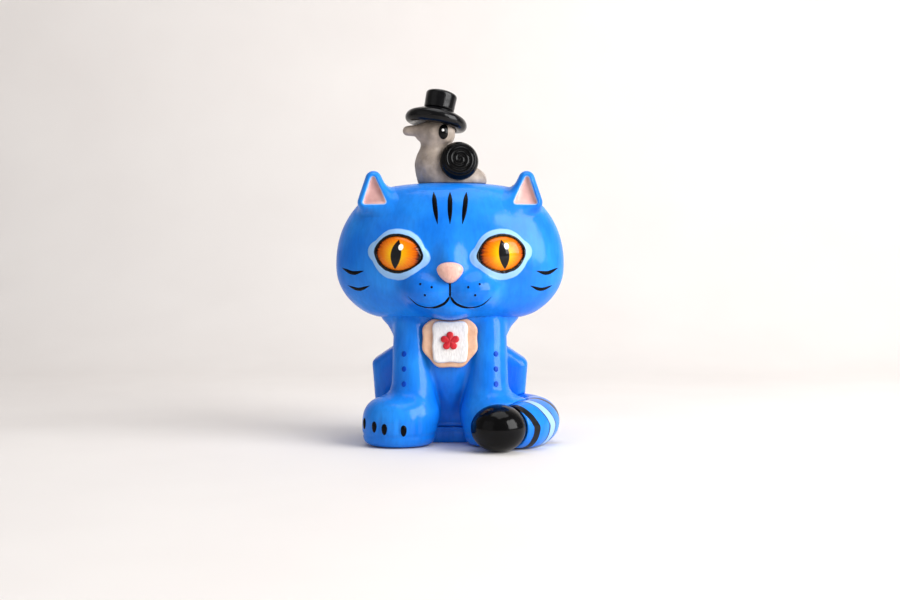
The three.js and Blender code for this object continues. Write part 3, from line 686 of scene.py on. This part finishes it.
TAIL_LOW, TAIL_HIGH = box("tail")
TIP_LOW, TIP_HIGH = box("tail_tip")
TAIL_THICK = TAIL_HIGH[2] / 2 - 0.1
TAIL_OUT = TAIL_HIGH[0] - TAIL_THICK
TIP_ROUND = (TIP_HIGH[0] - TIP_LOW[0]) / 2
TIP_MIDDLE = place(TIP_LOW[0] + TIP_ROUND, TIP_LOW[1] + TIP_ROUND, TIP_HIGH[2] - 17.2)
TAIL_LINE = curve([
    (TAIL_OUT - 21.5, 20, TAIL_THICK - 0.6),
    (TAIL_OUT - 7, 8, TAIL_THICK - 0.6),
    (TAIL_OUT, -11, TAIL_THICK - 0.6),
    (TAIL_OUT - 4.5, -31, TAIL_THICK - 0.6),
    (TIP_MIDDLE[0] + 10, TIP_MIDDLE[1] + 7, TAIL_THICK - 0.6),
    (TIP_MIDDLE[0], TIP_MIDDLE[1], TAIL_THICK - 0.6),
], 31)
# Each band runs from one distance to another along the tail, from the middle of its tip.
BANDS = (
    (15.4, 20.6, "#060608"),
    (29.6, 30.5, "#10141f"),
    (30.5, 37.0, "#9cc6f7"),
    (37.0, 37.9, "#10141f"),
    (48.0, 54.0, "#060608"),
    (60.0, 60.9, "#10141f"),
    (60.9, 67.5, "#9cc6f7"),
    (67.5, 68.4, "#10141f"),
)


def tail_measure(p):
    """Distance from the tail's centreline, and how far along it that is from the tip.

    Nearby stretches share in the second figure, so that no kink shows in the bands.
    """
    nearest = np.full(len(p), 1e6)
    along = np.zeros(len(p))
    total = np.full(len(p), 1e-30)
    travelled = 0.0
    for start, end in zip(TAIL_LINE[:0:-1], TAIL_LINE[-2::-1]):
        way = end - start
        length = norm(way)
        share = np.clip((p - start) @ way / length**2, 0, 1)
        distance = norm(p - start - share[:, None] * way)
        nearest = np.minimum(nearest, distance)
        pull = np.exp(1.4 * (TAIL_THICK - distance))
        along += pull * (travelled + share * length)
        total += pull
        travelled += length
    return nearest, along / total


def along_tail(p):
    """Where a point's band lies: each band leans towards the tip over the top of the tail."""
    return tail_measure(p)[1] + 0.5 * np.maximum(p[:, 2] - TAIL_THICK, 0)


def tail_field(p):
    nearest, along = tail_measure(p)
    thick = TAIL_THICK - 3.2 * np.clip(1.2 - along / 20, 0, 1)
    return soft_keep(nearest - thick, -p[:, 2], 2.0)


def tip_field(p):
    form = oval(p, TIP_MIDDLE, place(TIP_ROUND, TIP_ROUND, 15.6))
    return soft_keep(form, -p[:, 2], 2.0)


def tail_piece_field(p):
    """The tail, let into the haunch and ending against its tip and the trunk."""
    form = soft_keep(tail_field(p), 0.2 - tip_field(p), 1.6)
    return soft_keep(form, 0.25 - trunk_field(p), 0.8)


# ------------------------------------------------------------------ head

CHEEK_LEVEL = JAW + 0.4 * (CROWN - JAW)  # a cat's head is widest a little below its middle
FACE_DEPTH = 42.0  # from the neck's axis to the front of the face, without the muzzle
OVERSHOOT = 8.0  # how far the egg reaches past the flattened crown and jaw


def skull_field(p):
    """A plain egg lying on its side, flattened a little on the crown and under the jaw."""
    rise = CROWN + OVERSHOOT - CHEEK_LEVEL
    drop = CHEEK_LEVEL - JAW + OVERSHOOT
    q = p - place(0, (NAPE - FACE_DEPTH) / 2, CHEEK_LEVEL)
    q[:, 2] *= np.where(q[:, 2] > 0, drop / rise, 1)
    form = oval(q, np.zeros(3), place(CHEEK, (NAPE + FACE_DEPTH) / 2, drop), 2.2)
    x, y, z = p.T
    dome = z - CROWN + (np.hypot(x * 0.8, y) / 42) ** 2 * 2.2
    return soft_keep(soft_keep(form, dome, 8), JAW - z, 7)


def muzzle_field(p):
    q = mirrored(p)
    q[:, 0] = np.sqrt(q[:, 0] ** 2 + 1.2)
    pads = oval(q, place(13.6, MUZZLE + 14, JAW + 21), place(18, 14, 12.6))
    chin = oval(p, place(0, MUZZLE + 16.5, JAW + 11), place(14.5, 12.5, 9.5))
    bridge = oval(p, place(0, MUZZLE + 20, JAW + 36), place(10.5, 17, 20))
    return soft_join(soft_join(pads, chin, 2.5), bridge, 7)


def face_field(p):
    """The head without its eye sockets."""
    return soft_join(skull_field(p), muzzle_field(p), 8)


LID_THICK = 1.9  # radius of the rolled lid round each eye


def eyes_field(p):
    return eye_field(mirrored(p), 1)


def head_field(p):
    form = face_field(p)
    eye = eyes_field(p)
    lid = np.hypot(eye - 1.0, form) - LID_THICK
    form = soft_join(form, lid, 3)
    return soft_keep(form, 0.25 - eye, 0.6)


def head_piece_field(p):
    form = head_field(p)
    neck = soft_keep(trunk_field(p), p[:, 2] - 92, 1)
    form = soft_keep(form, 0.3 - neck, 0.6)
    return soft_keep(form, 0.25 - nose_field(p), 0.5)


def lid_area(p):
    """Distance outside an even pale edge round each eye."""
    return eyes_field(p) - 4.6


def lash_area(p):
    """Distance outside the thin dark line round each eye."""
    return eyes_field(p) - 1.8


def nose_field(p):
    low, high = box("nose")
    middle = (low + high) / 2
    q = p - middle
    z = q[:, 2] / 7.0
    width = 9.6 * np.clip(0.86 + 0.3 * z, 0.4, 1.2)
    q = np.stack([q[:, 0] * 9.6 / width, q[:, 1], q[:, 2]], 1)
    form = oval(q, place(0, 0.4, 0), place(9.6, 4.9, 6.9))
    nostril = limb(mirrored(p), middle + place(4.2, -5.5, -1.2), middle + place(6.6, -3.2, -0.2), 1.1, 0.8)
    return soft_keep(form, -nostril, 1.2)


# ------------------------------------------------------------------ ears

EAR_LOW, EAR_HIGH = box("ear_right")


def outline_distance(x, z, corners):
    """Distance outside a convex shape whose corners run anticlockwise, negative inside it."""
    nearest = np.full(len(x), 1e6)
    inside = np.ones(len(x), bool)
    for start, end in zip(corners, np.roll(corners, -1, 0)):
        way = end - start
        offset = np.stack([x, z], 1) - start
        share = np.clip(offset @ way / (way @ way), 0, 1)
        nearest = np.minimum(nearest, norm(offset - share[:, None] * way))
        inside &= way[0] * offset[:, 1] >= way[1] * offset[:, 0]
    return np.where(inside, -nearest, nearest)


EAR_ROUND = 5.8  # radius of the ear's corners
EAR_RIM = 4.4  # the blue rim left round the pink hollow
EAR_LET_IN = 1.0  # how deep the ear's foot is let into the head


EAR_OUTER = EAR_HIGH[0] - 2.4 - EAR_ROUND
EAR_TOP = EAR_HIGH[2] - 1 - EAR_ROUND
EAR_CORNERS = place((EAR_OUTER, EAR_LOW[2] + 10), ((EAR_LOW[0] + EAR_HIGH[0]) / 2, EAR_TOP),
                    (EAR_LOW[0] + EAR_ROUND, EAR_LOW[2] + 10))


def ear_lining(x, z):
    """Distance outside the pink hollow in the right ear, seen from the front."""
    return outline_distance(x, z, EAR_CORNERS) - EAR_ROUND + EAR_RIM


def ear_depth(p):
    """How far behind the ear's own leaning middle plane a point is."""
    return p[:, 1] - EAR_LOW[1] - 4.0 - (p[:, 2] - EAR_LOW[2]) * 0.16


def ear_blank(q):
    """The right ear before it is faired into the head."""
    outline = outline_distance(q[:, 0], q[:, 2], EAR_CORNERS) - EAR_ROUND
    depth = ear_depth(q)
    form = soft_keep(outline, np.abs(depth) - 6.5, 6)
    scoop = soft_keep(ear_lining(q[:, 0], q[:, 2]), depth + 3, 2.5)
    return soft_keep(form, -scoop, 1.6)


def ear_piece_field(p):
    """The ear with a fillet down to the head, and a thin flange let in under the fillet."""
    skull = skull_field(p)
    ear = ear_blank(mirrored(p))
    form = soft_join(ear, skull, 7) + 0.2
    return np.maximum(np.maximum(form, -skull - EAR_LET_IN), ear - 6)


def ear_inside(p):
    """Distance outside the ear's pink lining."""
    q = mirrored(p)
    return np.maximum(ear_lining(q[:, 0], q[:, 2]), ear_depth(q) + 1)


# ------------------------------------------------------------------ plaque and tile

PLAQUE_LEAN = 0.12


def chest_axes(node):
    """The middle of a node on the chest and axes across, back and up its leaning face."""
    low, high = box(node)
    return (low + high) / 2, np.array(Matrix.Rotation(-PLAQUE_LEAN, 3, "X"))


def slab(q, half, corner, top_corner):
    """A flat block with cut and rounded corners. half is its size from the middle."""
    x, z = np.abs(q[:, 0]), np.abs(q[:, 2])
    corner = np.where(q[:, 2] > 0, top_corner, corner)
    wave = 0.5 * np.sin(q[:, 0] * 0.42 + 1.3) + 0.4 * np.sin(q[:, 2] * 0.5)
    outline = soft_keep(x - half[0], z - half[2], 2)
    cut = (x + z - half[0] - half[2] + corner) * 0.707
    outline = soft_keep(outline, cut, 3) + 0.5 * wave
    return soft_keep(outline, np.abs(q[:, 1]) - half[1], 1.6)


def plaque_field(p):
    middle, axes = chest_axes("plaque")
    form = slab((p - middle - place(0, -1.6, -0.4)) @ axes, place(18.6, 2.0, 16.6), 10, 5.5)
    form = soft_keep(form, 0.12 - body_field(p), 0.5)
    return soft_keep(form, 0.2 - face_field(p), 0.6)


def tile_field(p):
    middle, axes = chest_axes("tile")
    form = slab((p - middle) @ axes, place(11.9, 1.5, 13.9), 1.2, 1.2)
    return soft_keep(form, 0.2 - face_field(p), 0.5)


def flower_field(p):
    middle, axes = chest_axes("flower")
    q = (p - middle) @ axes
    angle = np.arctan2(q[:, 0], q[:, 2])
    petal = np.abs(np.cos(2.5 * angle)) ** 0.55
    reach = 6.4 * (0.5 + 0.5 * petal)
    radius = np.hypot(q[:, 0], q[:, 2])
    dome = 0.7 + 0.5 * petal - 0.35 * (radius / reach) ** 2
    return soft_keep((radius - reach) * 0.7, np.abs(q[:, 1]) - dome, 0.8)


# ------------------------------------------------------------------ snail and hat

SNAIL_LOW, SNAIL_HIGH = box("snail_body")
SNAIL_EYE_LOW, SNAIL_EYE_HIGH = box("snail_eye_front")
SNAIL_EYE = (SNAIL_EYE_LOW + SNAIL_EYE_HIGH) / 2
SNAIL_HEAD = place(-9, -1, SNAIL_EYE[2])
SHELL_LOW, SHELL_HIGH = box("snail_shell")


def snail_field(p):
    x, y, z = p.T
    foot = oval(p, place(2, 1, CROWN + 1), place(22.5, 12.5, 9))
    tail = oval(p, place(11, 1, CROWN + 3), place(12.5, 9, 8.5))
    chest = oval(p, place(-12, 0, CROWN + 11.5), place(12.3, 12.2, 14.5))
    neck = limb(p, place(-11.5, 0, CROWN + 14), SNAIL_HEAD + place(-1.0, 0.5, -5), 9.6, 8.8)
    head = oval(p, SNAIL_HEAD, place(12.2, 11.6, 10.4))
    snout_end = place(SNAIL_LOW[0] + 3.8, -3, SNAIL_HEAD[2] + 1.8)
    snout = limb(p, SNAIL_HEAD + place(-5, -1, 2.2), snout_end, 5.2, 3.4)
    lip = limb(p, SNAIL_HEAD + place(-9, -1, -2.5), snout_end + place(8, 0, -4.4), 3.0, 1.6)
    form = soft_join(soft_join(foot, tail, 6), chest, 7)
    form = soft_join(soft_join(form, neck, 5), head, 5)
    form = soft_join(soft_join(form, snout, 4), lip, 2.5)
    mound = oval(mirrored_depth(p), SNAIL_EYE + place(0.3, 2.6, -0.4), place(6.9, 4.8, 7.4))
    form = soft_join(form, mound, 1.6)
    form = form + 0.18 * np.sin(x * 0.9 + 2) * np.sin(y * 0.8) * np.sin(z * 0.55)
    return form


def mirrored_depth(p):
    """Folds the back half of the snail's head onto the front half."""
    q = p.copy()
    middle = -1.0
    q[:, 1] = middle - np.abs(p[:, 1] - middle)
    return q


def snail_piece_field(p):
    form = soft_keep(snail_field(p), 0.12 - head_field(p), 0.4)
    return soft_keep(form, 0.2 - hat_field(p), 0.4)


def snail_eye_field(p, side):
    middle = SNAIL_EYE if side < 0 else SNAIL_EYE * place(1, -1, 1) + place(0, -2, 0)
    turn = np.array(Matrix.Rotation(-side * 0.42, 3, "Z"))
    return oval((p - middle) @ turn, np.zeros(3), place(4.4, 3.0, 5.4))


SHELL_THICK = 12.0
SHELL_TURN = 0.14
SHELL_LIFT = 0.2
SHELL_PITCH = 3.3  # distance between neighbouring turns of the coil


def make_shell(material):
    """A rolled coil: its face rises and falls with each turn of one spiral groove."""
    middle = (SHELL_LOW + SHELL_HIGH) / 2
    radius = (SHELL_HIGH[2] - SHELL_LOW[2]) / 2
    angle = np.arange(120) / 120 * tau
    rings = []
    for share in np.linspace(0.004, 1, 80):
        r = radius * share * np.ones_like(angle)
        coil = np.abs(np.sin((r / SHELL_PITCH + angle / tau) * pi)) ** 0.5
        shoulder = np.clip((share - 0.66) / 0.34, 0, 1)
        front = 0.5 * np.sqrt(1 - 0.96 * shoulder**2) + 0.07 * (1 - share**2)
        groove = 0.085 * (1 - coil) * (1 - shoulder**2) * min(1, share * 6)
        rings.append(np.stack([r * np.cos(angle), SHELL_THICK * (groove - front),
                               r * np.sin(angle)], 1))
    for share in np.linspace(0, 1, 18)[1:]:
        r = radius * np.sqrt(1 - (0.93 * share) ** 4) * np.ones_like(angle)
        back = np.full_like(angle, SHELL_THICK * (0.48 * share - 0.1 * (1 - share)))
        rings.append(np.stack([r * np.cos(angle), back, r * np.sin(angle)], 1))
    turn = Matrix.Rotation(SHELL_TURN, 3, "Z") @ Matrix.Rotation(-SHELL_LIFT, 3, "X")
    points, faces = skin(np.array(rings))
    piece = new_piece("coiled_shell", points @ np.array(turn).T + middle, faces)
    return put(piece, material, "black_gloss", "snail_shell")


HAT_TILT = 0.19
HAT_NOD = 0.07
BRIM_LOW, BRIM_HIGH = box("hat_brim")
BRIM_MIDDLE = (BRIM_LOW + BRIM_HIGH) / 2
BRIM_RADIUS = 21.6
ROLL = 4.6  # radius of the brim's rolled edge
CROWN_FOOT = 7.6  # from the middle of the roll up to the foot of the hat's crown
HAT_HEIGHT = 13.4


def hat_local(p):
    """Places measured from the middle of the brim's roll, along the hat's own axes."""
    turn = Matrix.Rotation(-HAT_NOD, 3, "X") @ Matrix.Rotation(HAT_TILT, 3, "Y")
    q = (p - BRIM_MIDDLE + place(0, 0, 1.1)) @ np.array(turn)
    q[:, 2] += 1.6 * (q[:, 0] / BRIM_RADIUS) ** 2  # the brim's sides droop over the head
    return q


def brim_field(p):
    x, y, z = hat_local(p).T
    radius = np.hypot(x, y) + 0.25 * np.sin(3 * np.arctan2(y, x) + 0.6)
    flat = np.stack([radius, 0 * z, z], 1)
    roll_middle = place(BRIM_RADIUS - ROLL, 0, 0)
    roll = norm(flat - roll_middle) - ROLL
    web = limb(flat, roll_middle, place(9, 0, CROWN_FOOT - 3.4), ROLL, 3.4)
    return np.minimum(roll, web)


def hat_top_field(p):
    x, y, z = hat_local(p).T
    radius = np.hypot(x, y)
    rise = z - CROWN_FOOT
    flare = 10.5 + 0.5 * rise / HAT_HEIGHT + 0.2 * np.sin(3 * np.arctan2(y, x) + 1)
    dome = rise - HAT_HEIGHT + 2.2 * (radius / 10.8) ** 2
    return soft_keep(soft_keep(radius - flare, dome, 1.6), -rise - 3, 1)


def hat_field(p):
    return soft_join(brim_field(p), hat_top_field(p), 1.5)


def hat_top_piece_field(p):
    return soft_keep(hat_top_field(p), 0.1 - brim_field(p), 0.4)


# ------------------------------------------------------------------ painted marks

STRIPE_GAP = 11.0  # between the three upright stripes on the forehead
LEG_DOTS = 3  # down the front of each leg
CLAWS = ((-57.4, 15.6), (-50.4, 14.4), (-43.5, 13.2), (-30.6, 12.4))


CHEEK_STROKES = (
    (((58, 118), (66, 116.6), (74, 120)), 2.6),
    (((54, 108), (62, 105.5), (70, 108)), 2.4),
)


def make_marks(ink, dark_blue):
    stripes = []
    for x in (-STRIPE_GAP, 0, STRIPE_GAP):
        route = ((x, CROWN - 8), (0.9 * x, CROWN - 19), (0.75 * x, CROWN - 30))
        stripes.append(stroke(head_field, route, 3.2, taper=(0.3, 0.5)))
    for _, side in SIDES:
        for route, width in CHEEK_STROKES:
            stripes.append(stroke(head_field, route, width, side=side, taper=(0.45, 0.4)))
    put(joined("forehead_and_cheek_stripes", stripes), ink, "black_gloss")
    mouth = [stroke(head_field, [(0, 112.5), (0, 107), (0, 101)], 1.4, taper=(0.1, 0.1))]
    for _, side in SIDES:
        mouth.append(stroke(head_field, [(0, 101.5), (4, 96.5), (12, 93.8), (21, 95.5), (28, 101.5)],
                            1.7, side=side, taper=(0.1, 0.35)))
        for x, z in ((12, 107.5), (19.5, 109.5), (16.5, 102.2)):
            mouth.append(dab(head_field, place(side * x), place(z), 1.5, 1.6, height=0.3))
    put(joined("mouth_line_and_whisker_dots", mouth), ink, "black_gloss")
    dots = []
    for _, side in SIDES:
        for row in range(LEG_DOTS):
            dots.append(dab(body_field, place(31.0 * side), place(62 - 10 * row), 3.6, 3.8, height=0.3))
    put(joined("leg_dots", dots), dark_blue, "blue_casting")
    claws = [dab(body_field, place(x), place(z), 4.6, 7.6, height=0.9, point=0.25) for x, z in CLAWS]
    put(joined("painted_claws", claws), ink, "black_gloss")


# ------------------------------------------------------------------ the pieces

def node_span(*nodes, grow=2.0):
    """A box round CAD nodes with some room to spare."""
    lows, highs = zip(*(box(node) for node in nodes))
    return np.min(lows, 0) - grow, np.max(highs, 0) + grow


def make_figure():
    blue = varnished_blue("varnished_blue_casting")
    face = varnished_blue("varnished_blue_face", lay_face)
    banded = varnished_blue("varnished_banded_tail", lay_bands)
    eared = varnished_blue("varnished_pink_lined_ear", lay_ear)
    gloss_black = brushed_enamel("black_enamel_varnish", "#040405", roughness=0.13)
    hat_black = brushed_enamel("black_clay_satin", "#070709", roughness=0.18, wave=0.4, shine=0.3)
    ink = brushed_enamel("black_line_paint", "#030306", roughness=0.25, wave=0.05, shine=0.12)
    dark_blue = brushed_enamel("dark_blue_acrylic", "#0044b8", roughness=0.3, wave=0.05, shine=0.15)
    grey = air_dry_clay("grey_air_dry_clay", "#baab9e", "#94877c")
    sand = air_dry_clay("sand_air_dry_clay", "#f0c4a4", "#dfab88")
    white = matte_acrylic("white_thick_acrylic", "#f6f4f2", "#e4e1df", ridges=0.3)
    red = matte_acrylic("red_thick_acrylic", "#dd1226", "#b40c1d", ridges=0.25)
    pink = matte_acrylic("pink_nose_acrylic", "#f0c2b3", "#e2ac9d")
    eye = domed_acrylic_eye("domed_acrylic_eye")
    beech = turned_beech("turned_beech_dowel")

    low, high = node_span("body_shell")
    body = sculpt("body_casting", body_piece_field, low, (*high[:2], 94), 1.0)
    put(body, blue, "blue_casting", "body_shell")
    low, high = node_span("base_plinth")
    put(sculpt("plinth", plinth_field, low, high, 1.2), blue, "blue_casting", "base_plinth")
    head = sculpt("head_casting", head_piece_field, *node_span("head_shell"), 1.0,
                  {"lid": lid_area, "lash": lash_area})
    put(head, face, "blue_casting", "head_shell")
    for name, side in SIDES:
        make_eye(f"domed_eye_{name}", side, eye)
        low, high = node_span(f"ear_{name}", grow=12)
        clip = (lambda p, s=side: np.maximum(ear_piece_field(p), 18 - s * p[:, 0]))
        ear = sculpt(f"modelled_ear_{name}", clip, low, high, 0.8, {"inside": ear_inside})
        put(ear, eared, "blue_casting", f"ear_{name}")
    put(sculpt("painted_nose", nose_field, *node_span("nose"), 0.6), pink, "pink_paint", "nose")
    tail = sculpt("wrapped_tail", tail_piece_field, *node_span("tail"), 1.0,
                  {"along": along_tail})
    put(tail, banded, "blue_casting", "tail")
    tip = sculpt("black_tail_ball", tip_field, *node_span("tail_tip"), 0.9)
    put(tip, gloss_black, "black_gloss", "tail_tip")

    plaque = sculpt("clay_plaque", plaque_field, *node_span("plaque"), 0.7)
    put(plaque, sand, "sand_clay", "plaque")
    tile = sculpt("white_tile", tile_field, *node_span("tile"), 0.6)
    put(tile, white, "white_paint", "tile")
    flower = sculpt("red_flower", flower_field, *node_span("flower", grow=1), 0.3)
    put(flower, red, "red_paint", "flower")

    snail = sculpt("clay_snail", snail_piece_field, *node_span("snail_body"), 0.7)
    put(snail, grey, "grey_clay", "snail_body")
    make_shell(gloss_black)
    for name, side in (("front", -1), ("back", 1)):
        field = (lambda p, s=side: snail_eye_field(p, s))
        snail_eye = sculpt(f"bead_eye_{name}", field, *node_span(f"snail_eye_{name}"), 0.5)
        put(snail_eye, gloss_black, "black_gloss", f"snail_eye_{name}")
        glint = [dab(field, place(SNAIL_EYE[0] - 1.0), place(SNAIL_EYE[2] + 1.2), 1.9, 2.1, height=0.3)]
        if side < 0:
            put(joined("bead_eye_glint", glint), white, "white_paint")
    brim = sculpt("hat_brim_roll", brim_field, *node_span("hat_brim"), 0.7)
    put(brim, hat_black, "black_clay", "hat_brim")
    top = sculpt("hat_top", hat_top_piece_field, *node_span("hat_crown"), 0.7)
    put(top, hat_black, "black_clay", "hat_crown")

    make_marks(ink, dark_blue)
    for name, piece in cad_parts.items():
        if "_pin" in name:
            piece.data.materials.clear()
            piece.data.materials.append(beech)


# ------------------------------------------------------------------ stage, light, camera

def make_stage():
    """Seamless paper that curves up far behind the figure."""
    paper = studio_paper("studio_paper")
    width, back, bend = 3000, 900, 400
    turn = np.linspace(0, pi / 2, 16)
    y = [-1600, *(back - bend + bend * np.sin(turn)), back]
    z = [0, *(bend - bend * np.cos(turn)), 2200]
    points = [(x, b, c) for b, c in zip(y, z) for x in (-width, width)]
    faces = [[i, i + 1, i + 3, i + 2] for i in range(0, len(points) - 2, 2)]
    floor = new_piece("studio_floor", points, faces)
    floor.data.materials.append(paper)


def soft_light(name, watts, size, position, target=(0, 0, 120)):
    lamp = bpy.data.lights.new(name, "AREA")
    lamp.energy = watts
    lamp.size = size * MM
    holder = bpy.data.objects.new(name, lamp)
    holder.location = Vector(position) * MM
    holder.rotation_euler = (Vector(target) - Vector(position)).to_track_quat("-Z", "Y").to_euler()
    bpy.context.scene.collection.objects.link(holder)


def make_light():
    soft_light("window_right", 25, 1000, (1100, -650, 650))
    soft_light("fill_left", 1.5, 1200, (-1000, -900, 500))
    soft_light("top", 6, 900, (100, -100, 1300))
    world = bpy.data.worlds.new("studio_world")
    bpy.context.scene.world = world
    world.use_nodes = True
    world.node_tree.nodes["Background"].inputs["Color"].default_value = hue("#f4f1ef")
    world.node_tree.nodes["Background"].inputs["Strength"].default_value = 0.32


CAMERA_DISTANCE = 870
CAMERA_HEIGHT = 124
CAMERA_DOWN = atan(38 / 1250)  # the horizon lies this far above the middle of the view


def make_camera():
    lens = bpy.data.cameras.new("camera")
    lens.lens, lens.sensor_width = 50, 36
    camera = bpy.data.objects.new("camera", lens)
    camera.location = (0, -CAMERA_DISTANCE * MM, CAMERA_HEIGHT * MM)
    camera.rotation_euler = (pi / 2 - CAMERA_DOWN, 0, 0)
    bpy.context.scene.collection.objects.link(camera)
    bpy.context.scene.camera = camera


make_figure()
make_stage()
make_light()
make_camera()
bpy.context.scene.view_settings.view_transform = "Standard"
